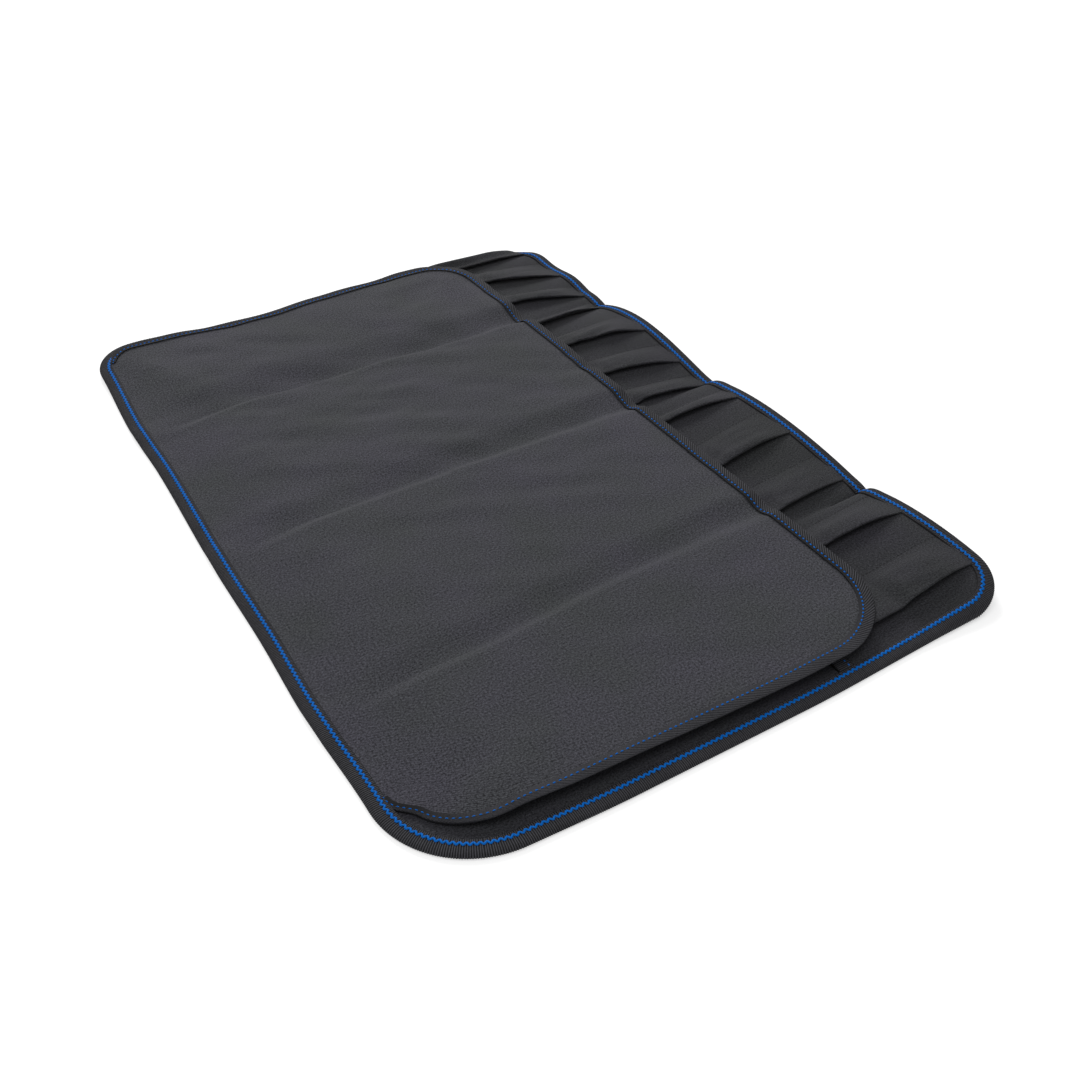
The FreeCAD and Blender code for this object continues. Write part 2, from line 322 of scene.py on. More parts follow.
def wander(x, y):
    """How far the cloth runs out of true: a wavy hinge side, and ends that bulge."""
    along, across = (y - NEAR_EDGE) / MM, (x - HINGE_EDGE) / MM
    side = through(along, *SIDE_STOPS) * fade(across, 0, SIDE_FADE)
    near_end = through(across, *NEAR_STOPS) * fade(along, 0, NEAR_FADE)
    far_end = through(across, *FAR_STOPS) * grow(along, FAR_START, FAR_GROWTH)
    return MM * side, MM * (near_end + far_end)


def lay(x, y, h):
    x, y, h = np.broadcast_arrays(x, y, h)
    side, end = wander(x, y)
    return np.stack([x + side, y + end, rise(x, y) + h], -1)


def ripple(x, y, size_x, size_y, seed):
    """A smooth random field from -1 to 1 with bumps of those sizes."""
    table = np.random.default_rng(seed).uniform(-1, 1, (64, 64))
    u, v = x / size_x + 20.3, y / size_y + 30.7
    i, j = np.floor(u).astype(int), np.floor(v).astype(int)
    s, t = ease(u - i), ease(v - j)

    def row(j):
        return table[i % 64, j % 64] * (1 - s) + table[(i + 1) % 64, j % 64] * s

    return row(j) * (1 - t) + row(j + 1) * t


rim_heights = rise(np.array(POCKET_EDGE), np.linspace(NEAR_EDGE, FAR_EDGE, 99))
print("highest arch, mm:", round(1000 * float(rim_heights.max()), 1))

# %% [markdown]
# ## From rows of points to cloth
# A sheet is a grid of points on its middle surface. `faces_of_cloth` gives it a front and a back half
# its thickness away along its normals, so cloth folded back on itself keeps its thickness, and
# `sheet_part` closes the rims. The flat coordinates are kept as a UV map, so that the weave follows
# the cloth through every pleat. A strip of tape is a closed loop of points carried along a path, and
# its ends are capped.

# %% Mesh helpers
SHARP = math.radians(62)


def outward(verts, faces):
    """The same faces, turned over if they enclose a negative volume."""
    volume = sum(np.dot(verts[face[0]], np.cross(verts[b], verts[c]))
                 for face in faces for b, c in zip(face[1:-1], face[2:]))
    return faces if volume > 0 else [tuple(reversed(face)) for face in faces]


def stations(low, high, step, must=()):
    """Places from low to high about a step apart, with each of the places in must among them."""
    stops = [low, *sorted(m for m in must if low < m < high), high]
    found = [low]
    for a, b in zip(stops, stops[1:]):
        count = max(1, round((b - a) / step))
        found.extend(a + (b - a) * (i + 1) / count for i in range(count))
    return np.array(found)


def faces_of_cloth(middle, thickness):
    """Front and back grids half a thickness away from a middle grid whose rows run in +Y."""
    normal = unit(np.cross(np.gradient(middle, axis=1), np.gradient(middle, axis=0)))
    return middle + normal * thickness / 2, middle - normal * thickness / 2


def sheet_part(front, back):
    """(vertices, faces) of a closed sheet between two grids of points."""
    n = front.shape[0] * front.shape[1]
    at = np.arange(n).reshape(front.shape[:2])
    top = np.stack([at[:-1, :-1], at[:-1, 1:], at[1:, 1:], at[1:, :-1]], -1).reshape(-1, 4)
    faces = top.tolist() + (top[:, ::-1] + n).tolist()
    rim = list(at[0, :]) + list(at[1:, -1]) + list(at[-1, -2::-1]) + list(at[-2:0:-1, 0])
    faces += [[i, i + n, j + n, j] for i, j in zip(rim, rim[1:] + rim[:1])]
    return np.concatenate([front.reshape(-1, 3), back.reshape(-1, 3)]), faces


def tube_part(rings, crown=0.0):
    """A closed bar through loops of points, capped at both ends; crown is its share of painted light, 1 on a
    rib's top and 0 on plain tape.
    """
    n, k = rings.shape[:2]
    at = np.arange(n * k).reshape(n, k)
    a, b = at[:-1], at[1:]
    sides = np.stack([a, np.roll(a, -1, 1), np.roll(b, -1, 1), b], -1).reshape(-1, 4).tolist()
    faces = sides + [at[0][::-1].tolist(), at[-1].tolist()]
    verts = rings.reshape(-1, 3)
    return verts, outward(verts, faces), np.broadcast_to(np.asarray(crown, float), (n, k)).ravel()


def make_piece(name, parts, finish):
    """One smooth mesh from (vertices, faces, values) parts. Values are flat coordinates or crowns."""
    verts, values = (np.concatenate([part[k] for part in parts]) for k in (0, 2))
    faces, start = [], 0
    for part in parts:
        faces.extend([tuple(int(i) + start for i in face) for face in part[1]])
        start += len(part[0])
    mesh = bpy.data.meshes.new(name)
    mesh.from_pydata(verts.tolist(), [], faces)
    mesh.shade_smooth()
    mesh.set_sharp_from_angle(angle=SHARP)
    if values.ndim == 1:
        crown = mesh.attributes.new("crown", "FLOAT", "POINT")
        crown.data.foreach_set("value", values.astype(np.float32))
    else:
        corners = np.zeros(len(mesh.loops), np.int32)
        mesh.loops.foreach_get("vertex_index", corners)
        layer = mesh.uv_layers.new(name="flat")
        layer.uv.foreach_set("vector", values[corners].astype(np.float32).ravel())
    mesh.materials.append(finish)
    return new_object(name, mesh)


def cut_cloth(kind, labels, cuts, middle, thickness, flat, finish):
    """Pieces of a sheet, from one row in cuts to the next."""
    front, back = faces_of_cloth(middle, thickness)
    pieces = []
    for label, i, j in zip(labels, cuts, cuts[1:]):
        rows = slice(i, j + 1)
        verts, faces = sheet_part(front[rows], back[rows])
        values = np.tile(flat[rows].reshape(-1, 2), (2, 1))
        pieces.append(make_piece(kind + label, [(verts, faces, values)], finish))
    print(kind, len(pieces), "lengths,", sum(len(p.data.polygons) for p in pieces), "faces")
    return pieces


def cut_grid(kind, labels, rows, edges, limits, share, place, thickness, finish):
    """Cut cloth whose rows lie at those y, from the low to the high limit, placed by that function."""
    low, high = limits
    x, y = low[:, None] + (high - low)[:, None] * share, np.repeat(rows[:, None], len(share), 1)
    cuts = [0, *(int(np.argmin(abs(rows - edge))) for edge in edges), len(rows) - 1]
    return cut_cloth(kind, labels, cuts, place(x, y), thickness, np.stack([x, y], -1), finish)


def sewn_tape(labels, tape, tape_parts, stitching, stitch_parts):
    """The pieces of a tape and those of its blue stitches, one of each for each zone."""
    tapes, stitches = [], []
    for label, parts, small_parts in zip(labels, tape_parts, stitch_parts):
        tapes.append(make_piece(tape + label, parts, TAPE_FINISH))
        stitches.append(make_piece(stitching + label, small_parts, BLUE_THREAD))
    print(tape, len(tapes), "lengths,", sum(len(p.data.polygons) for p in tapes + stitches), "faces")
    return tapes, stitches


# %% [markdown]
# ## What moves with what
# The back, the rim tape and the pockets are split at the creases. Each panel's length rides on its
# panel. A narrow strip over each crease is a piece of its own, with its place baked in and no body.
# The flap is split at the creases too, and each length of it keeps its place baked in, with no body.

# %% Bodies and folds
PANELS = ("near_outer_panel", "near_inner_panel", "far_inner_panel", "far_outer_panel")
FLAPS = ("near_outer_flap", "near_inner_flap", "far_inner_flap", "far_outer_flap")
STRIP = 7 * MM
ZONE_EDGES = [edge for c in CREASES for edge in (c - STRIP, c + STRIP)]
# Zones 0, 2, 4 and 6 are the panels, and 1, 3 and 5 the strips over the creases.
ZONES = ("1", "crease_1", "2", "crease_2", "3", "crease_3", "4")
FLAP_ZONES = ("1", "2", "3", "4")


def move_with_panels(piece, zone):
    panel = zone // 2
    if zone % 2:
        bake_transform(piece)
    else:
        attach(piece, PANELS[panel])
        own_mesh(piece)


def move_with_flap(piece):
    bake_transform(piece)


# %% [markdown]
# ## Finishes
# The cloth is a dense brushed weave, nearly black. Close up it is a salt-and-pepper of lighter and
# darker fibres, and over a hand's width its tone drifts a little between warm and cool. The back takes a
# darker copy of the flap's cloth, which is painted shade. The tape is darker and harder, and its ribs are
# painted light on top and dark at their feet, as painted light and shade. The thread is smooth and bright.
# Each finish is a few textures: one for the fibres, one for the drift, and a bump so that the light breaks
# on the surface.

# %% Cloth, tape and thread finishes
def relief(tree, height, strength, depth):
    return add(tree, "ShaderNodeBump", Strength=strength, Distance=depth, Height=height)


def roughness(tree, grain, low, high):
    """A roughness that goes from low to high as the grain goes from 0 to 1."""
    return add(tree, "ShaderNodeMapRange", Value=grain, To_Min=low, To_Max=high)


def cloth_finish(name, dark, light, grain):
    material, tree, shader = new_material(name)
    flat = add(tree, "ShaderNodeUVMap", uv_map="flat")
    fibres = add(tree, "ShaderNodeTexNoise", Vector=flat, Scale=grain, Detail=3.0, Roughness=0.85)
    twill = add(tree, "ShaderNodeTexWave", bands_direction="DIAGONAL", Vector=flat, Scale=430.0,
                Distortion=1.6, Detail=1.0)
    drift = add(tree, "ShaderNodeTexNoise", Vector=flat, Scale=14.0, Detail=3.0, Roughness=0.55)
    pepper = add(tree, "ShaderNodeMapRange", Value=fibres, From_Min=0.37, From_Max=0.64)
    tint = add(tree, "ShaderNodeValToRGB", drift)
    warm, cool = tint.color_ramp.elements
    warm.position, warm.color = 0.32, (0.90, 0.96, 0.88, 1)
    cool.position, cool.color = 0.68, (1.06, 1.03, 1.12, 1)
    height = add(tree, "ShaderNodeMath", twill, 0.35, fibres, operation="MULTIPLY_ADD")
    wire(tree, shader, Sheen_Weight=0.12, Sheen_Roughness=0.45, Specular_IOR_Level=0.25,
         Base_Color=mixed(tree, 1.0, mixed(tree, pepper, dark, light), tint, "MULTIPLY"),
         Roughness=roughness(tree, fibres, 0.98, 0.82), Normal=relief(tree, height, 0.8, 0.5 * MM))
    return material


def tape_finish(name, ground, rib):
    """Woven tape: ribs painted lighter on top and the ground between them painted darker, as painted light
    and shade, with fine threads and a little wear.
    """
    material, tree, shader = new_material(name)
    place = add(tree, "ShaderNodeTexCoord").outputs["Object"]
    threads = add(tree, "ShaderNodeTexNoise", Vector=place, Scale=1500.0, Detail=2.0)
    wear = add(tree, "ShaderNodeTexNoise", Vector=place, Scale=45.0, Detail=3.0)
    crown = add(tree, "ShaderNodeAttribute", attribute_name="crown").outputs["Fac"]
    blend = add(tree, "ShaderNodeMath", wear, 0.6, threads, operation="MULTIPLY_ADD")
    shade = add(tree, "ShaderNodeMapRange", Value=blend, From_Min=0.5, From_Max=1.1, To_Min=0.65, To_Max=1.35)
    grey = add(tree, "ShaderNodeCombineColor", shade, shade, shade)
    wire(tree, shader, Specular_IOR_Level=0.3,
         Base_Color=mixed(tree, 1.0, mixed(tree, crown, ground, rib), grey, "MULTIPLY"),
         Roughness=roughness(tree, threads, 0.9, 0.68), Normal=relief(tree, threads, 0.5, 0.2 * MM))
    return material


def thread_finish(name, dark, light, gloss):
    """Twisted thread: the strands run slantwise along each stitch's own UV map."""
    material, tree, shader = new_material(name)
    flat = add(tree, "ShaderNodeUVMap", uv_map="flat")
    strands = add(tree, "ShaderNodeTexWave", bands_direction="DIAGONAL", Vector=flat, Scale=1.6,
                  Distortion=0.6)
    wire(tree, shader, Specular_IOR_Level=gloss, Base_Color=mixed(tree, strands, dark, light),
         Roughness=roughness(tree, strands, 0.62, 0.42), Normal=relief(tree, strands, 0.4, 0.1 * MM))
    return material


CLOTH_FINISH = cloth_finish("brushed_cloth", colour(30, 30, 34), colour(92, 92, 99), 820.0)
POCKET_FINISH = cloth_finish("pocket_cloth", colour(20, 20, 23), colour(71, 71, 76), 900.0)
# The back's cloth is the flap's cloth made darker: painted shade.
PAINTED_SHADE_FINISH = cloth_finish("painted_shade_cloth", colour(24, 24, 28), colour(74, 74, 80), 900.0)
# The tape's first colour is painted shade, at the ribs' feet and on plain tape, and its second is painted
# light, on the ribs' tops.
TAPE_FINISH = tape_finish("ribbed_tape", colour(20, 20, 22), colour(72, 72, 77))
BLUE_THREAD = thread_finish("blue_thread", colour(0, 88, 178), colour(0, 132, 236), 0.12)
BLACK_THREAD = thread_finish("black_thread", colour(14, 14, 16), colour(34, 34, 38), 0.3)
print("finishes:", [m.name for m in bpy.data.materials])


# %% [markdown]
# ## The back
# The back is two layers sewn as one, about a millimetre thick. It lies flat, so a plain grid over
# its rounded outline is enough. The grid's rows stop exactly at the edges of the crease strips, and
# its rim ends inside the tape, where a sewn edge is hidden.

# %% Back cloth
BACK_BOTTOM, BACK_TOP = 0.15 * MM, 1.35 * MM
HIDDEN = 9 * MM
# Radius of the near and the far corner, on the hinge side and on the pocket side.
HINGE_CORNERS = (58 * MM, 38 * MM)
POCKET_CORNERS = (33 * MM, 42 * MM)
# The strips over the creases get closer rows, so that they fold in a smooth curve.
CLOSE_ROWS = [c + k * MM for c in CREASES for k in range(-6, 7)]


def shortened(y, radii, inset):
    """How far the outline, moved inwards by inset, falls short of its straight side at y."""
    short = np.zeros(np.shape(y))
    for radius, edge, way in ((radii[0], NEAR_EDGE, 1), (radii[1], FAR_EDGE, -1)):
        r = max(radius - inset, 0.0)
        into = np.clip(radius - way * (y - edge), 0, r)
        short = short + r - np.sqrt(np.maximum(r * r - into * into, 0))
    return short


def side_limits(y, inset):
    """Lowest and highest x of the roll's outline moved inwards by inset, at y."""
    return (HINGE_EDGE + inset + shortened(y, HINGE_CORNERS, inset),
            POCKET_EDGE - inset - shortened(y, POCKET_CORNERS, inset))


def on_table(x, y):
    return lay(x, y, (BACK_BOTTOM + BACK_TOP) / 2 + 0.12 * MM * ripple(x, y, 0.035, 0.022, 3))


rows = stations(NEAR_EDGE + HIDDEN, FAR_EDGE - HIDDEN, 3.5 * MM, ZONE_EDGES + CLOSE_ROWS)
# The back takes the darker copy of the cloth, which is painted shade.
backs = cut_grid("back_cloth_", ZONES, rows, ZONE_EDGES, side_limits(rows, HIDDEN), np.linspace(0, 1, 106),
                 on_table, BACK_TOP - BACK_BOTTOM, PAINTED_SHADE_FINISH)

# %% [markdown]
# ## The pockets
# One knife pleat gives each pocket its room. Seen from the end of the roll, the cloth leaves a seam,
# runs under the pleat, turns back on itself, turns again at the pleat's edge, and goes over the top
# to the next seam. Under the rim tape the three layers are pressed flat, and towards the mouth the
# pleat stands open. A path with those five stretches is worked out at each place along the pocket,
# and the grid of all of them is the cloth.

# %% Where the pleats and seams run
# Distances from the near end, at the rim tape and at the flap's edge, in millimetres.
PLEATS = ((29, 26), (88, 94), (141, 138), (197, 197), (254, 263), (292, 299),
          (325, 344), (372, 396), (436, 438), (461, 483), (498, 523), (550, 553))
SEAMS = ((8.5, 8.5), (59, 62), (116, 116), (169, 170), (229, 229), (272, 275), (308, 322),
         (350, 371), (405, 418), (450, 450), (478, 502), (530, 545), (567.5, 567.5))
PLEAT_HEIGHTS = (8.0, 6.8, 6.4, 6.2, 6.8, 6.0, 6.0, 6.4, 6.6, 6.0, 6.6, 5.2)
# The last pocket has little cloth left before the rim, so it stands up behind its pleat.
SWELLS = (0.3,) * 11 + (6.5,)
POCKET_CLOTH = 0.6 * MM
LAID = BACK_TOP + 0.35 * MM
# Height in millimetres of the layers where the rim tape presses them flat, and how far from there
# the pleat has opened.
FLAT_HEIGHT, OPENING_LENGTH = 1.35, 35 * MM
# Air between a pocket and the flap, and the least that a pressed pocket keeps of its height.
LEAST = 0.5 * MM
# How far the cloth is folded back under a pleat, and how much less towards the mouth, in millimetres.
FOLDED_BACK, FOLDED_LESS = 6.0, 5.0
# Rows of the path: under the pleat, round each of its turns, between them, and over the top.
UNDER_ROWS, TURN_ROWS, BETWEEN_ROWS, TOP_ROWS = 16, 5, 9, 20


def along_pocket(pair, x):
    """A line's y: its place at the rim tape drifts to its place at the flap's edge and stays there."""
    t = np.clip((TAPE_START - x) / (TAPE_START - FLAP_EDGE), 0, 1)
    return NEAR_EDGE + MM * (pair[0] + (pair[1] - pair[0]) * t)


# %% [markdown]
# The flap lies over the pockets, so its height is needed before the pockets are made: where the
# flap comes down, it presses them. Its surface climbs from the hinge seam to the level of the
# pleats, sags where nothing holds it, dips at the creases, and has a few soft puckers.

# %% Height of the flap
FLAP_CLOTH, FLAP_TAPE = 0.6 * MM, 0.45 * MM
# Heights in millimetres: at the hinge seam, over the pleats, how deep the flap sags between them, and
# the most that it reaches at its edges and inside them, with a smooth bend of that size below it.
ROOT_LEVEL, PLEAT_LEVEL, SAG = 2.2, 10.7, 0.7
EDGE_MOST, INNER_MORE, BEND = 10.85, 0.9, 0.22
# At the far end the flap climbs in a shorter span, and from a little before the hinge seam.
CLIMB_SPAN, SPAN_LESS, CLIMB_EARLY = 60, 36, 6 * MM
FAR_CLIMB = (FAR_EDGE - 106 * MM, 80 * MM)
# For each crease, in millimetres: how far it has run towards the far end where it meets the flap's
# free edge, how deep its valley is, and how wide the valley's far side is.
VALLEYS = ((17, 2.9, 22), (6.5, 3.7, 26), (3, 5.4, 36))
# How far a valley wavers, how wide its near side is and how much wider at the free edge, and where
# the cloth bulges beside it.
WAVER, NEAR_SIDE, NEAR_SIDE_MORE, BULGE = 1.6, 9, 5, (21, 9)
# How far the flap drops at its near and far edges, and from how far in.
EDGE_DROP, EDGE_REACH = 0.6, 35 * MM
# Where the sag starts and how far it goes, and where fans of puckers have their middle.
SAG_START, SAG_SPAN, CORNER_INSET = -0.13, 0.20, 0.02
# Puckers over the whole flap: height in millimetres, slant, length, width and seed.
PUCKERS = ((0.60, 0.45, 0.050, 0.017, 11), (0.30, 0, 0.020, 0.011, 12), (0.6, 0, 0.09, 0.05, 13))


def fan(x, y, depth, folds, turn, reach):
    """Puckers that fan out round a corner of the flap, deepest at that reach from it."""
    return depth * np.sin(np.arctan2(y, x) * folds + turn) * hump(np.hypot(x, y), reach, 0.035)


def flap_height(x, y):
    """Height of the flap's middle surface above the floor."""
    x, y = np.broadcast_arrays(x, y)
    far = grow(y, *FAR_CLIMB)
    climb = ease((x - HINGE + CLIMB_EARLY * far) / (MM * (CLIMB_SPAN - SPAN_LESS * far)))
    start = ROOT_LEVEL + rise(x, y) / MM * (x < 0)
    level = start + (PLEAT_LEVEL - start) * climb
    level = level - SAG * np.sin(np.pi * np.clip((x - SAG_START) / SAG_SPAN, 0, 1)) ** 2
    free = grow(x, 0, FLAP_EDGE)
    for number, (crease, (drift, depth, width)) in enumerate(zip(CREASES, VALLEYS)):
        bent = crease + MM * (drift * grow(x, HINGE, 0.30) + WAVER * ripple(x, 0 * x, 0.07, 1.0, 40 + number))
        past = (y - bent) / MM
        valley = np.where(past > 0, fade(past, 0, width), fade(-past, 0, NEAR_SIDE + NEAR_SIDE_MORE * free))
        level = level - (depth + 0.7 * free) * climb * valley + free * hump(np.abs(past), *BULGE)
    edge = np.minimum(y - FLAP_NEAR, FLAP_FAR - y)
    level = level - EDGE_DROP * climb * fade(edge, 0, EDGE_REACH)
    puckers = sum(tall * ripple(x, y + slant * x, *sizes) for tall, slant, *sizes in PUCKERS)
    puckers = puckers * (0.55 + 1.15 * grow(y, CREASES[0], 0.24))
    gathers = fan(x - HINGE, y - FLAP_NEAR - CORNER_INSET, depth=0.6, folds=9.0, turn=0.6, reach=0.055)
    gathers = gathers + fan(FLAP_EDGE - CORNER_INSET - x, FLAP_FAR - CORNER_INSET - y,
                            depth=0.9, folds=8.5, turn=0.9, reach=0.06)
    hems = 0.45 * ripple(x, y, 0.014, 0.011, 14) * hump(x, HINGE, 0.02) * grow(x, HINGE, 0.006)
    level = level + climb * (puckers + gathers) + hems
    most = EDGE_MOST + INNER_MORE * grow(np.minimum(edge, FLAP_EDGE - x), 12 * MM, 16 * MM)
    return MM * (most - BEND * np.logaddexp(0, (most - level) / BEND))


# %% The path of one pocket
def pleat_path(number, x):
    """y and height above the underside, both (rows, columns), of one pocket's middle line at each x."""
    seam_low, seam_high = along_pocket(SEAMS[number], x), along_pocket(SEAMS[number + 1], x)
    edge = along_pocket(PLEATS[number], x)
    opened = np.sin(np.pi / 2 * np.clip((TAPE_START - x) / OPENING_LENGTH, 0, 1))
    tall = LAID + MM * (FLAT_HEIGHT + (PLEAT_HEIGHTS[number] - FLAT_HEIGHT) * opened)
    fold = MM * (FOLDED_BACK - FOLDED_LESS * ease((FLAP_EDGE - 5 * MM - x) / (40 * MM)))
    hidden = edge + np.minimum(fold, 0.45 * (seam_high - edge))
    under = LAID + (tall - LAID) * 0.12
    small, big = MM * (0.33 + 0.17 * opened), MM * (0.33 + 0.25 * opened)
    turns = np.linspace(-np.pi / 2, np.pi / 2, TURN_ROWS + 2)[1:-1]
    path = [(seam_low + (hidden - seam_low) * t, LAID + (under - LAID) * ease(t))
            for t in np.linspace(0, 1, UNDER_ROWS)]
    path += [(hidden + small * np.cos(turn), under + small * (1 + np.sin(turn))) for turn in turns]
    path += [(hidden + (edge - hidden) * t, under + 2 * small + (tall - 2 * big - under - 2 * small) * t)
             for t in np.linspace(0, 1, BETWEEN_ROWS)]
    path += [(edge - big * np.cos(turn), tall - big + big * np.sin(turn)) for turn in turns]
    for t in np.linspace(0, 1, TOP_ROWS + 1)[:-1]:
        round_top = 0.5 * np.cos(np.pi / 2 * t ** 1.35) + 0.5 * (1 - ease(t ** 1.15))
        swell = MM * SWELLS[number] * opened * np.sin(np.pi * t ** 1.7) ** 1.2
        path.append((edge + (seam_high - edge) * t, LAID + (tall - LAID) * round_top + swell))
    return np.array(path).transpose(1, 0, 2)


def pressed(x, y, h, top):
    """The height, less where the flap comes down on a pocket whose own top is that high."""
    # At the far corner the flap's edge turns up, so it presses only further in.
    room = flap_height(x, y) - rise(x, y) - LAID - FLAP_CLOTH / 2 - FLAP_TAPE - POCKET_CLOTH / 2 - LEAST
    corner = grow(y, FLAP_FAR - 34 * MM, 28 * MM)
    inside = fade(x, FLAP_EDGE + MM * (1 - 42 * corner), MM * (11 + 14 * corner))
    share = np.minimum(1, np.maximum(room, LEAST) / np.maximum(top - LAID, LEAST))
    return LAID + (h - LAID) * (1 + (share - 1) * inside)


def whole_front(low_x, high_inset, columns):
    """x, y, h and the pocket's own top of all twelve pockets' cloth, seam to seam along the roll."""
    def across(y):
        return low_x + (side_limits(y, high_inset)[1] - low_x) * share

    share = np.linspace(0, 1, columns)
    grids = []
    for number in range(len(PLEATS)):
        x = across(pleat_path(number, low_x + (POCKET_EDGE - high_inset - low_x) * share)[0])
        y, h = np.stack([pleat_path(number, x[i])[:, i] for i in range(len(x))], 1)
        grids.append((x, y, h, np.repeat(h.max(0, keepdims=True), len(x), 0)))
    last_y = np.full((1, columns), along_pocket(SEAMS[-1], 0.0))
    grids.append((across(last_y), last_y, np.full((1, columns), LAID), grids[-1][3][-1:]))
    return tuple(np.concatenate(part) for part in zip(*grids))


def crease_rows(y):
    """Row numbers where the grid is cut: just outside the strip on each side of every crease."""
    cuts = [0]
    for crease in CREASES:
        middle = int(np.argmin(np.abs(y.mean(1) - crease)))
        cuts.append(max(i for i in range(middle + 1) if y[i].max() <= crease - STRIP))
        cuts.append(min(i for i in range(middle, len(y)) if y[i].min() >= crease + STRIP))
    return cuts + [len(y) - 1]


# %% Pocket cloth
x, y, h, top = whole_front(MOUTH + 0.6 * MM, HIDDEN, columns=70)
lively = np.clip((h - LAID) / (4 * MM), 0, 1) * ease((TAPE_START - x) / (20 * MM))
creep = 0.85 * ripple(x, y, 0.042, 0.0075, 5) + 0.45 * ripple(x, y, 0.017, 0.006, 8)
middle = lay(x, y, pressed(x, y, h + MM * (lively * creep + 0.10 * ripple(x, y, 0.05, 0.01, 6)), top))
steps = np.linalg.norm(np.diff(middle, axis=0), axis=-1)
flat = np.stack([x, np.concatenate([np.zeros((1, x.shape[1])), np.cumsum(steps, 0)])], -1)
pockets = cut_cloth("pocket_cloth_", ZONES, crease_rows(y), middle, POCKET_CLOTH, flat, POCKET_FINISH)

# %% [markdown]
# The pockets' mouth is bound with the same tape. It was sewn on before the cloth was pleated, so it
# takes the same path as the cloth, only thicker, and closes round its edge.

# %% Mouth tape
x, y, h, top = whole_front(MOUTH, POCKET_EDGE - MOUTH_TAPE_END, columns=9)
h = pressed(x, y, h, top)
y = np.clip(y, NEAR_EDGE + TAPE_WIDTH - 1 * MM, FAR_EDGE - TAPE_WIDTH + 1 * MM)
mouth_top, back = faces_of_cloth(lay(x, y, h + 0.1 * MM), POCKET_CLOTH + 0.8 * MM)
mouth_parts = []
cuts = crease_rows(y)
for i, j in zip(cuts, cuts[1:]):
    verts, faces = sheet_part(mouth_top[i:j + 1], back[i:j + 1])
    mouth_parts.append([(verts, faces, np.zeros(len(verts)))])

# %% [markdown]
# ## Stitches and ribs
# Stitches, and the ribs of the tape, are one small shape repeated along a line. Geometry Nodes do
# that well: the line is a string of vertices that carry the cloth's upward direction, the tree turns
# it into a curve, places points an even pitch apart, and stands the shape on each of them, turned to
# run with the line and to face up from the cloth. A lean that alternates from one to the next makes
# a zigzag. The tree is built once and used for every row, with its sizes as inputs.

# %% The tree that sets a row of shapes along a line
def build_row_tree():
    tree = bpy.data.node_groups.new("row_of_shapes", "GeometryNodeTree")
    for name, kind in (("Geometry", "Geometry"), ("Shape", "Object"), ("Pitch", "Float"), ("Lean", "Float"),
                       ("Unevenness", "Float"), ("Seed", "Int")):
        tree.interface.new_socket(name, in_out="INPUT", socket_type="NodeSocket" + kind)
    tree.interface.new_socket("Geometry", in_out="OUTPUT", socket_type="NodeSocketGeometry")
    given = add(tree, "NodeGroupInput").outputs
    line = add(tree, "GeometryNodeMeshToCurve", given["Geometry"])
    spaced = add(tree, "GeometryNodeResampleCurve", mode="LENGTH", Curve=line, Length=given["Pitch"])
    up = add(tree, "GeometryNodeInputNamedAttribute", data_type="FLOAT_VECTOR", Name="up")
    tangent = add(tree, "GeometryNodeInputTangent")
    forward = add(tree, "FunctionNodeAlignRotationToVector", axis="X", Vector=tangent)
    upright = add(tree, "FunctionNodeAlignRotationToVector", axis="Z", pivot_axis="X",
                  Rotation=forward, Vector=up)
    parity = add(tree, "ShaderNodeMath", add(tree, "GeometryNodeInputIndex"), 2.0, operation="MODULO")
    swing = add(tree, "ShaderNodeMath", parity, 2.0, -1.0, operation="MULTIPLY_ADD")
    leaned = add(tree, "ShaderNodeMath", swing, given["Lean"], operation="MULTIPLY")
    chance = add(tree, "FunctionNodeRandomValue", data_type="FLOAT", Min=-1.0, Seed=given["Seed"])
    shaken = add(tree, "ShaderNodeMath", chance, given["Unevenness"], leaned, operation="MULTIPLY_ADD")
    turn = add(tree, "FunctionNodeEulerToRotation", add(tree, "ShaderNodeCombineXYZ", Z=shaken))
    final = add(tree, "FunctionNodeRotateRotation", rotation_space="LOCAL", Rotation=upright,
                Rotate_By=turn)
    shape = add(tree, "GeometryNodeObjectInfo", Object=given["Shape"]).outputs["Geometry"]
    placed = add(tree, "GeometryNodeInstanceOnPoints", Points=spaced, Instance=shape, Rotation=final)
    add(tree, "NodeGroupOutput", add(tree, "GeometryNodeRealizeInstances", placed))
    return tree


ROW_TREE = build_row_tree()


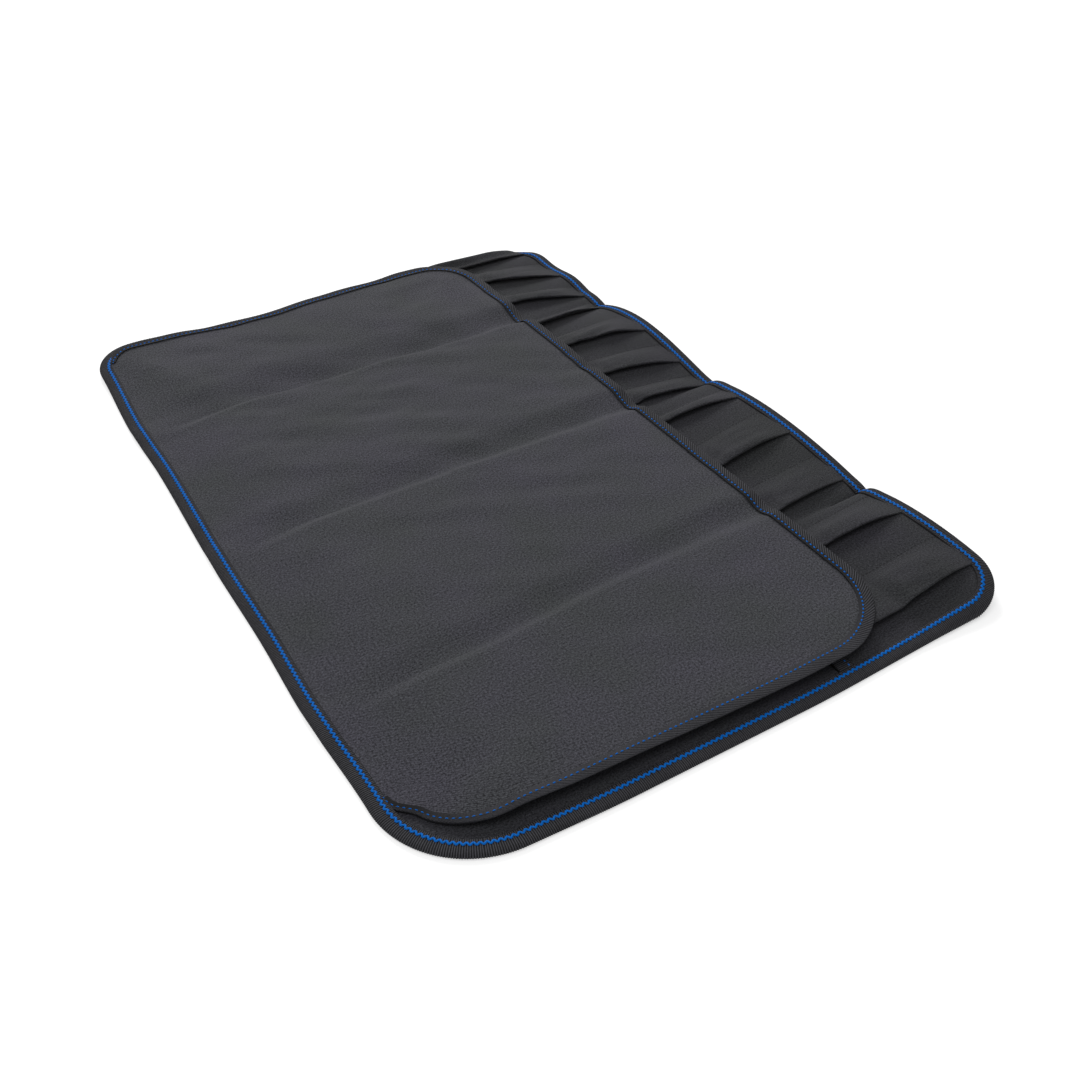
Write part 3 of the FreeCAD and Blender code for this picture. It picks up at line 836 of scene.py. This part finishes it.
# %% Set a row of shapes and bring it back as plain points
def set_row(lines, shape, pitch, lean=0.0, unevenness=0.04, seed=1):
    """lines is a list of (points, ups) and shape is (vertices, faces, values). Returns (count, n, 3)."""
    verts, edges = [], []
    for points, _ in lines:
        start = len(verts)
        verts.extend(points.tolist())
        edges.extend((start + i, start + i + 1) for i in range(len(points) - 1))
    guide_mesh, shape_mesh = bpy.data.meshes.new("guide"), bpy.data.meshes.new("shape")
    guide_mesh.from_pydata(verts, edges, [])
    held = guide_mesh.attributes.new("up", "FLOAT_VECTOR", "POINT")
    held.data.foreach_set("vector", np.concatenate([up for _, up in lines]).astype(np.float32).ravel())
    shape_mesh.from_pydata(shape[0].tolist(), [], [tuple(f) for f in shape[1]])
    guide, master = new_object("guide", guide_mesh), new_object("shape", shape_mesh)
    modifier = guide.modifiers.new("row", "NODES")
    modifier.node_group = ROW_TREE
    sockets = {s.name: s.identifier for s in ROW_TREE.interface.items_tree if s.in_out == "INPUT"}
    for key, value in (("Shape", master), ("Pitch", pitch), ("Lean", lean), ("Unevenness", unevenness),
                       ("Seed", seed)):
        modifier[sockets[key]] = value
    depsgraph = bpy.context.evaluated_depsgraph_get()
    made = bpy.data.meshes.new_from_object(guide.evaluated_get(depsgraph), depsgraph=depsgraph)
    points = np.zeros(len(made.vertices) * 3, np.float32)
    made.vertices.foreach_get("co", points)
    for thing in (guide, master):
        bpy.data.objects.remove(thing)
    for mesh in (made, guide_mesh, shape_mesh):
        bpy.data.meshes.remove(mesh)
    return points.astype(float).reshape(-1, len(shape[0]), 3)


def row_parts(points, shape, edges):
    """The shapes of a row as parts: a list for each zone between those edges along the roll."""
    zones = np.searchsorted(edges, points[:, :, 1].mean(1))
    sorted_parts = [[] for _ in range(len(edges) + 1)]
    for zone in sorted(set(zones.tolist())):
        chosen = points[zones == zone]
        count, n = chosen.shape[:2]
        faces = [tuple(int(i) + k * n for i in face) for k in range(count) for face in shape[1]]
        sorted_parts[zone].append((chosen.reshape(-1, 3), faces, np.concatenate([shape[2]] * count)))
    return sorted_parts


def joined(*sorted_parts):
    """Lists of parts by zone, put together zone by zone."""
    return [sum(parts, []) for parts in zip(*sorted_parts)]


# %% [markdown]
# A stitch is a short, slightly flattened capsule that dips at both ends, where the needle took it
# through the cloth. A rib is a thin bar that follows the tape's section, from its inner edge over
# the rim and down.

# %% The repeated shapes
def stitch_shape(length, width, height, dip, rings=5, around=6):
    """A capsule along X, its middle on z = 0, with UVs that run along it and round it."""
    verts, uv, faces = [], [], []
    for t in np.linspace(-1, 1, rings):
        full = math.sqrt(max(1 - abs(t) ** 3, 0.0)) * 0.94 + 0.06
        for k in range(around):
            angle = 2 * math.pi * k / around
            verts.append((length / 2 * t, width / 2 * full * math.cos(angle),
                          height / 2 * full * math.sin(angle) - dip * t * t))
            uv.append((t * 1.5, k / around * 2))
    for a in range((rings - 1) * around):
        b = a - a % around + (a + 1) % around
        faces.append((a, a + around, b + around, b))
    faces += [tuple(range(around)), tuple(range(rings * around - 1, (rings - 1) * around - 1, -1))]
    verts = np.array(verts)
    return verts, outward(verts, faces), np.array(uv)


def bar_shape(line, width, height, slant=0.0):
    """A bar whose crown follows a line of (y, z) points, with its foot inside; slant runs it along X."""
    line = np.array(line)
    step = np.gradient(line, axis=0)
    normal = unit(np.stack([step[:, 1], -step[:, 0]], 1))
    # The third number is the point's share of painted light: most on the rib's top, none at its foot.
    loop = ((-0.5, -0.25 * MM, 0.0), (-0.5, 0.0, 0.0), (-0.28, 0.8 * height, 0.9), (0, height, 1.0),
            (0.28, 0.8 * height, 0.9), (0.5, 0.0, 0.0), (0.5, -0.25 * MM, 0.0))
    rings = [[(width * x + slant * (y - line[:, 0].mean()), y + ny * out, z + nz * out) for x, out, _ in loop]
             for (y, z), (ny, nz) in zip(line, normal)]
    return tube_part(np.array(rings), [crown for _, _, crown in loop])


def turned_over(shape):
    """The same shape for the underside of a tape."""
    verts, faces, values = shape
    return verts * (1, 1, -1), [face[::-1] for face in faces], values


# %% [markdown]
# ## The rim tape
# A tape folded over the edge all round. Its section is a flat loop: a crowned top, a round edge and
# a flat underside. The section is carried along the roll's outline and laid down with the cloth.

# %% Paths with round corners
def corner(x, y, radius, degrees):
    """Points round a corner, and the way in from each."""
    c, s = np.cos(np.radians(degrees)), np.sin(np.radians(degrees))
    return np.stack([x + radius * c, y + radius * s, -c, -s], 1)


def straight(a, b, step, must):
    """Points on the straight side from point a to point b, without those two."""
    axis = 1 if abs(a[0] - b[0]) < 1e-6 else 0
    places = stations(min(a[axis], b[axis]), max(a[axis], b[axis]), step, must if axis else ())[1:-1]
    side = np.tile(a, (len(places), 1))
    side[:, axis] = places if b[axis] > a[axis] else places[::-1]
    return side


def round_path(corners, step, must=()):
    """The corners, with the straight sides from each to the next between them."""
    found = [corners[0]]
    for last, following in zip(corners, corners[1:]):
        found += [straight(last[-1], following[0], step, must), following]
    return found


def rim_path(step, must=()):
    """The roll's outline, anticlockwise from its pocket side: x, y and the way in."""
    corners = []
    for radius, right, far, start in ((POCKET_CORNERS[1], 1, 1, 0), (HINGE_CORNERS[1], 0, 1, 90),
                                      (HINGE_CORNERS[0], 0, 0, 180), (POCKET_CORNERS[0], 1, 0, 270)):
        x = POCKET_EDGE - radius if right else HINGE_EDGE + radius
        y = FAR_EDGE - radius if far else NEAR_EDGE + radius
        corners.append(corner(x, y, radius, start + np.linspace(0, 90, 33)))
    closing = straight(corners[-1][-1], corners[0][0], step, must)
    return np.concatenate(round_path(corners, step, must) + [closing])


# %% Rows that follow a strip
def strip_row(path, laid, shape, pitch, inset=0.0, height=0.0, measured=0.0, closed=False, **row):
    """A row set on a straight line, then bent: along the path, in from it, and up from the surface."""
    if closed:
        path = np.concatenate([path, path[:1]])
    line = path[:, :2] + path[:, 2:] * measured
    at = np.concatenate([[0], np.cumsum(np.hypot(*np.diff(line, axis=0).T))])
    ends = np.array([(0.0, 0, 0), (at[-1], 0, 0)])
    found = set_row([(ends, np.array([(0, 0, 1.0)] * 2))], shape, at[-1] / round(at[-1] / pitch), **row)
    found = found[:-1] if closed else found
    along = found[..., 0] % at[-1] if closed else found[..., 0]
    x, y, in_x, in_y = (np.interp(along, at, path[:, k]) for k in range(4))
    return laid(x, y, in_x, in_y, found[..., 1] + inset, found[..., 2] + height)


def on_rim(x, y, in_x, in_y, s, h):
    return lay(x + in_x * s, y + in_y * s, h)


# %% Rim tape
# Distance in from the edge and height, in millimetres, round the tape's section.
RIM_SECTION = ((10.6, 0.45), (10.6, 2.75), (10.2, 2.95), (8.0, 3.10), (5.0, 3.15), (2.6, 3.0), (1.2, 2.6),
               (0.35, 2.0), (0.1, 1.45), (0.4, 0.85), (1.2, 0.5), (3.0, 0.40), (7.0, 0.40))
RIM_RIBBED = RIM_SECTION[2:12]
PATH_STEP = 2.5 * MM

path = rim_path(PATH_STEP, ZONE_EDGES)
rings = np.stack([on_rim(*path.T, s * MM, h * MM) for s, h in RIM_SECTION], 1)
zones = np.searchsorted(ZONE_EDGES, (path[:, 1] + np.roll(path[:, 1], -1)) / 2)
rim_parts = [[] for _ in ZONES]
starts = [i for i in range(len(path)) if zones[i] != zones[i - 1]]
for first, last in zip(starts, starts[1:] + [starts[0] + len(path)]):
    rim_parts[zones[first]].append(tube_part(rings[np.arange(first, last + 1) % len(path)]))
print("rim tape:", len(path), "sections, runs per zone", [len(v) for v in rim_parts])

# %% Ribs of the rim tape and its zigzag
RIB_PITCH, RIB_WIDTH, RIB_HEIGHT = 1.22 * MM, 0.84 * MM, 0.22 * MM
ZIGZAG_PERIOD, ZIGZAG_SWING, ZIGZAG_INSET = 3.35 * MM, 2.0 * MM, 7.3 * MM
ZIGZAG_TOP, ZIGZAG_BOTTOM = 3.50 * MM, 0.45 * MM
HALF_STITCH = math.hypot(ZIGZAG_PERIOD / 2, ZIGZAG_SWING)
ZIGZAG_LEAN = math.atan2(ZIGZAG_SWING, ZIGZAG_PERIOD / 2)

path = rim_path(PATH_STEP)
rib = bar_shape([(s * MM, h * MM) for s, h in RIM_RIBBED], RIB_WIDTH, RIB_HEIGHT)
ribs = strip_row(path, on_rim, rib, RIB_PITCH, measured=5 * MM, closed=True, seed=4, unevenness=0.02)
rim_parts = joined(rim_parts, row_parts(ribs, rib, ZONE_EDGES))


def zigzag_parts(shape, height, seed):
    row = strip_row(path, on_rim, shape, ZIGZAG_PERIOD / 2, ZIGZAG_INSET, height, measured=ZIGZAG_INSET,
                    closed=True, lean=ZIGZAG_LEAN, unevenness=0.05, seed=seed)
    return row_parts(row, shape, ZONE_EDGES)


zigzag = stitch_shape(length=HALF_STITCH + 0.9 * MM, width=1.25 * MM, height=1.0 * MM, dip=0.10 * MM)
stitch_parts = joined(zigzag_parts(zigzag, ZIGZAG_TOP, 7),
                      zigzag_parts(turned_over(zigzag), ZIGZAG_BOTTOM, 8))
rims, rim_stitches = sewn_tape(ZONES, "rim_tape_", rim_parts, "rim_stitching_", stitch_parts)
print("ribs:", len(ribs))

# %% [markdown]
# The mouth tape gets its own ribs and blue stitches, and a line of small black stitches holds the
# pocket cloth to the back along each seam.

# %% Ribs and stitches of the mouth tape
DASH_PITCH = 3.4 * MM


def column_line(grid, column, lift):
    """A line along one column of a laid grid, lifted off the surface, and its upward directions."""
    up = unit(np.cross(grid[:, column + 1] - grid[:, column - 1], np.gradient(grid[:, column], axis=0)))
    return grid[:, column] + up * lift, up


mouth_rib = bar_shape([(y * MM, 0) for y in (5.0, 2.5, 0, -2.5, -5.0)], RIB_WIDTH, height=0.24 * MM)
mouth_ribs = set_row([column_line(mouth_top, column=4, lift=0.0)], mouth_rib, RIB_PITCH, seed=2)
dash = stitch_shape(length=1.9 * MM, width=1.0 * MM, height=0.7 * MM, dip=0.10 * MM)
dashes = set_row([column_line(mouth_top, column=6, lift=0.12 * MM)], dash, DASH_PITCH, seed=3)
mouth_parts = joined(mouth_parts, row_parts(mouth_ribs, mouth_rib, ZONE_EDGES))
stitch_parts = row_parts(dashes, dash, ZONE_EDGES)
mouths, mouth_stitches = sewn_tape(ZONES, "mouth_binding_", mouth_parts, "mouth_stitching_", stitch_parts)
print("mouth ribs:", len(mouth_ribs), " dashes:", len(dashes))

# %% Seam stitches
tack = stitch_shape(length=1.9 * MM, width=0.5 * MM, height=0.4 * MM, dip=0.08 * MM)
seam_lines = []
x = np.linspace(MOUTH_TAPE_END, TAPE_START + 1 * MM, 60)
for seam in SEAMS[1:-1]:
    y = along_pocket(seam, x)
    points = lay(x, y, LAID + POCKET_CLOTH / 2 + 0.12 * MM)
    side = lay(x, y + 0.5 * MM, LAID) - lay(x, y - 0.5 * MM, LAID)
    seam_lines.append((points, unit(np.cross(np.gradient(points, axis=0), side))))
tacks = set_row(seam_lines, tack, pitch=2.7 * MM, seed=9)
# Seams lie within the panels, but for one that runs over a crease strip.
seams = [[make_piece("seam_stitching_" + label, parts, BLACK_THREAD)] if parts else []
         for label, parts in zip(ZONES, row_parts(tacks, tack, ZONE_EDGES))]
print("seam stitches:", len(tacks), "in", len(sum(seams, [])), "pieces")

# %% [markdown]
# ## The cover flap
# The flap is one sheet from the seam under the rim tape to its free edge. Its rows end at the
# creases, where the flap's bodies meet.

# %% Path of the flap's stitches
# Everything at the flap's edge is measured from its row of stitches. The tape reaches STITCH_INSET
# beyond it to the free edge, and less near the hinge, where it is pulled in under the rim tape. On
# the two side edges the stitches themselves lie SIDE_INSET in.
STITCH_INSET, SIDE_INSET = 7.2 * MM, 8.0 * MM
FREE_NEAR, FREE_FAR = 50 * MM, 34 * MM
ROOT_NEAR, ROOT_FAR = 37.6 * MM, 14.0 * MM
ROOT_START, ROOT_END = 176, 165
FLAP_STEP = 2.4 * MM
# How much of its full width the tape keeps beyond the stitches, by distance from the hinge side in
# millimetres on the near side edge.
PINCH_PLACES, PINCH_SHARES = (0, 30, 60, 122, 185, 250), (0.30, 0.30, 0.46, 0.68, 0.80, 0.92)


def flap_path():
    """Points along the flap's stitches, from its near root to its far root, with the way in."""
    low, high, right = FLAP_NEAR + SIDE_INSET, FLAP_FAR - SIDE_INSET, FLAP_EDGE - STITCH_INSET
    degrees = np.linspace(ROOT_START, 270, 34)
    # The near root's curve opens out towards the hinge, and jogs out where it goes under the rim tape.
    opened = MM * (2.0 * fade(degrees, 200, 50) + 9.0 * fade(degrees, ROOT_START, 28))
    return np.concatenate(round_path((
        corner(HINGE_EDGE + 58 * MM, low + ROOT_NEAR, ROOT_NEAR + opened, degrees),
        corner(right - FREE_NEAR, low + FREE_NEAR, FREE_NEAR, np.linspace(270, 360, 34)),
        corner(right - FREE_FAR, high - FREE_FAR, FREE_FAR, np.linspace(0, 90, 34)),
        corner(HINGE_EDGE + 26 * MM, high - ROOT_FAR, ROOT_FAR, np.linspace(90, ROOT_END, 34)),
    ), FLAP_STEP, CREASES))


def lay_flap(x, y, h):
    side, end = wander(x, y)
    across, along = (x - HINGE_EDGE) / MM, (y - NEAR_EDGE) / MM
    pulled = 1.2 * fade(across, 120, 100) * fade(along, 20, 60)
    pulled = pulled + 2.5 * fade(across, 30, 110) * grow(along, FAR_START, FAR_GROWTH)
    return np.stack([x + side, y + end + MM * pulled, flap_height(x, y) + h], -1)


def on_flap(x, y, in_x, in_y, s, h):
    """s is the distance in from the free edge, as on a tape of full width."""
    pinch = np.interp((x - HINGE_EDGE) / MM, PINCH_PLACES, PINCH_SHARES)
    kept = pinch + (1 - pinch) * np.maximum(grow(x, 0.07, 0.05), 0.85 * (y > 0))
    beyond = np.where(s < STITCH_INSET, (s - STITCH_INSET) * kept, s - STITCH_INSET)
    return lay_flap(x + in_x * beyond, y + in_y * beyond, h)


path = flap_path()
edge_x, edge_y = (path[:, :2] - path[:, 2:] * 2 * MM).T


def flap_limits(y):
    """Lowest and highest x of the flap's cloth at y: it ends under its tape."""
    bottom, top = np.flatnonzero(edge_y == edge_y.min()), np.flatnonzero(edge_y > edge_y.max() - 1e-9)
    near, far = slice(0, bottom[0] + 1), slice(top[-1], len(path))
    low = np.full(len(y), HINGE_EDGE + 6 * MM)
    low = np.where(y < edge_y[near].max(), np.interp(y, edge_y[near][::-1], edge_x[near][::-1]), low)
    low = np.where(y > edge_y[far].min(), np.interp(y, edge_y[far][::-1], edge_x[far][::-1]), low)
    free = slice(bottom[-1], int(np.argmax(edge_y)) + 1)
    return low, np.interp(y, edge_y[free], edge_x[free])


# %% Flap cloth
rows = stations(edge_y.min(), edge_y.max(), FLAP_STEP, CREASES)
# Closer columns beside the hinge seam, where the cloth bends.
share = np.concatenate([np.linspace(0, 0.05, 24)[:-1], np.linspace(0.05, 1, 146)])


def with_groove(x, y):
    """The flap, pressed down a little along the inner edge of its tape."""
    return lay_flap(x, y, -0.6 * MM * hump(x, FLAP_EDGE - 10.4 * MM, 1.1 * MM))


flaps = cut_grid("flap_cloth_", FLAP_ZONES, rows, CREASES, flap_limits(rows), share, with_groove, FLAP_CLOTH,
                 CLOTH_FINISH)

# %% Flap tape, its slanted ribs and its stitches
# Distance in from the free edge and height, in millimetres, round the tape's section.
FLAP_SECTION = ((8.5, 0.15), (9.0, 0.80), (9.7, 1.02), (9.7, 1.34), (9.0, 1.26), (7.2, 0.92), (5.0, 0.84),
                (2.0, 0.72), (0.6, 0.50), (0.1, 0.0), (0.6, -0.50), (2.0, -0.70), (6.0, -0.75), (9.2, -0.72),
                (9.7, -0.55), (8.5, -0.15))
FLAP_RIBBED = ((6.6, 0.88), (5.0, 0.83), (3.4, 0.78), (2.0, 0.72), (0.9, 0.58), (0.4, 0.35))

rings = np.stack([on_flap(*path.T, np.full(len(path), s * MM), h * MM) for s, h in FLAP_SECTION], 1)
# Along the near edge the whole tape is painted lighter, most of the way to its ribs' painted-light tone, so
# that its lip shows no painted shade there.
near_tone = 0.75 * np.clip(path[:, 3:4], 0, 1) ** 2
ends = np.searchsorted(np.searchsorted(CREASES, (path[1:, 1] + path[:-1, 1]) / 2), range(5))
flap_parts = [[tube_part(rings[i:j + 1], near_tone[i:j + 1])] for i, j in zip(ends, ends[1:])]
bar_line = [(s * MM, h * MM) for s, h in FLAP_RIBBED]
bar = bar_shape(bar_line, width=1.45 * MM, height=0.26 * MM, slant=-1.3)
for shape, seed in ((bar, 21), (turned_over(bar), 22)):
    found = strip_row(path, on_flap, shape, pitch=2.25 * MM, seed=seed, unevenness=0.01)
    flap_parts = joined(flap_parts, row_parts(found, shape, CREASES))


def dash_parts(height, seed):
    row = strip_row(path, on_flap, dash, DASH_PITCH, STITCH_INSET, height, seed=seed)
    return row_parts(row, dash, CREASES)


stitch_parts = joined(dash_parts(1.06 * MM, 31), dash_parts(-0.86 * MM, 32))
flap_tapes, flap_stitches = sewn_tape(FLAP_ZONES, "flap_binding_", flap_parts,
                                      "flap_stitching_", stitch_parts)

# %% [markdown]
# ## Joining the pieces to the bodies
# The panels' pieces are now parented to their panel bodies, and the crease strips' and the flap's
# pieces keep their places baked in. The imported model's plain solids that the pieces replace are hidden.

# %% Bodies and hidden solids
PANEL_POCKETS = ((1, 2), (3, 4, 5, 6), (7, 8, 9, 10), (11, 12))

for zone in range(len(ZONES)):
    panel = zone // 2
    for pieces in (backs, rims, rim_stitches, pockets, mouths, mouth_stitches):
        move_with_panels(pieces[zone], zone)
    for piece in seams[zone]:
        move_with_panels(piece, zone)
    if zone % 2 == 0:
        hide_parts(f"back_panel_{panel + 1}")
        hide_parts(f"edge_tape_{panel + 1}")
        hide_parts(*[f"pocket_front_{n:02d}" for n in PANEL_POCKETS[panel]])
        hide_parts(f"mouth_tape_{panel + 1}")
for panel in range(len(FLAPS)):
    for pieces in (flaps, flap_tapes, flap_stitches):
        move_with_flap(pieces[panel])
    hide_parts(f"flap_panel_{panel + 1}", f"flap_hem_{panel + 1}")
    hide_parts(f"flap_tape_{panel + 1}")
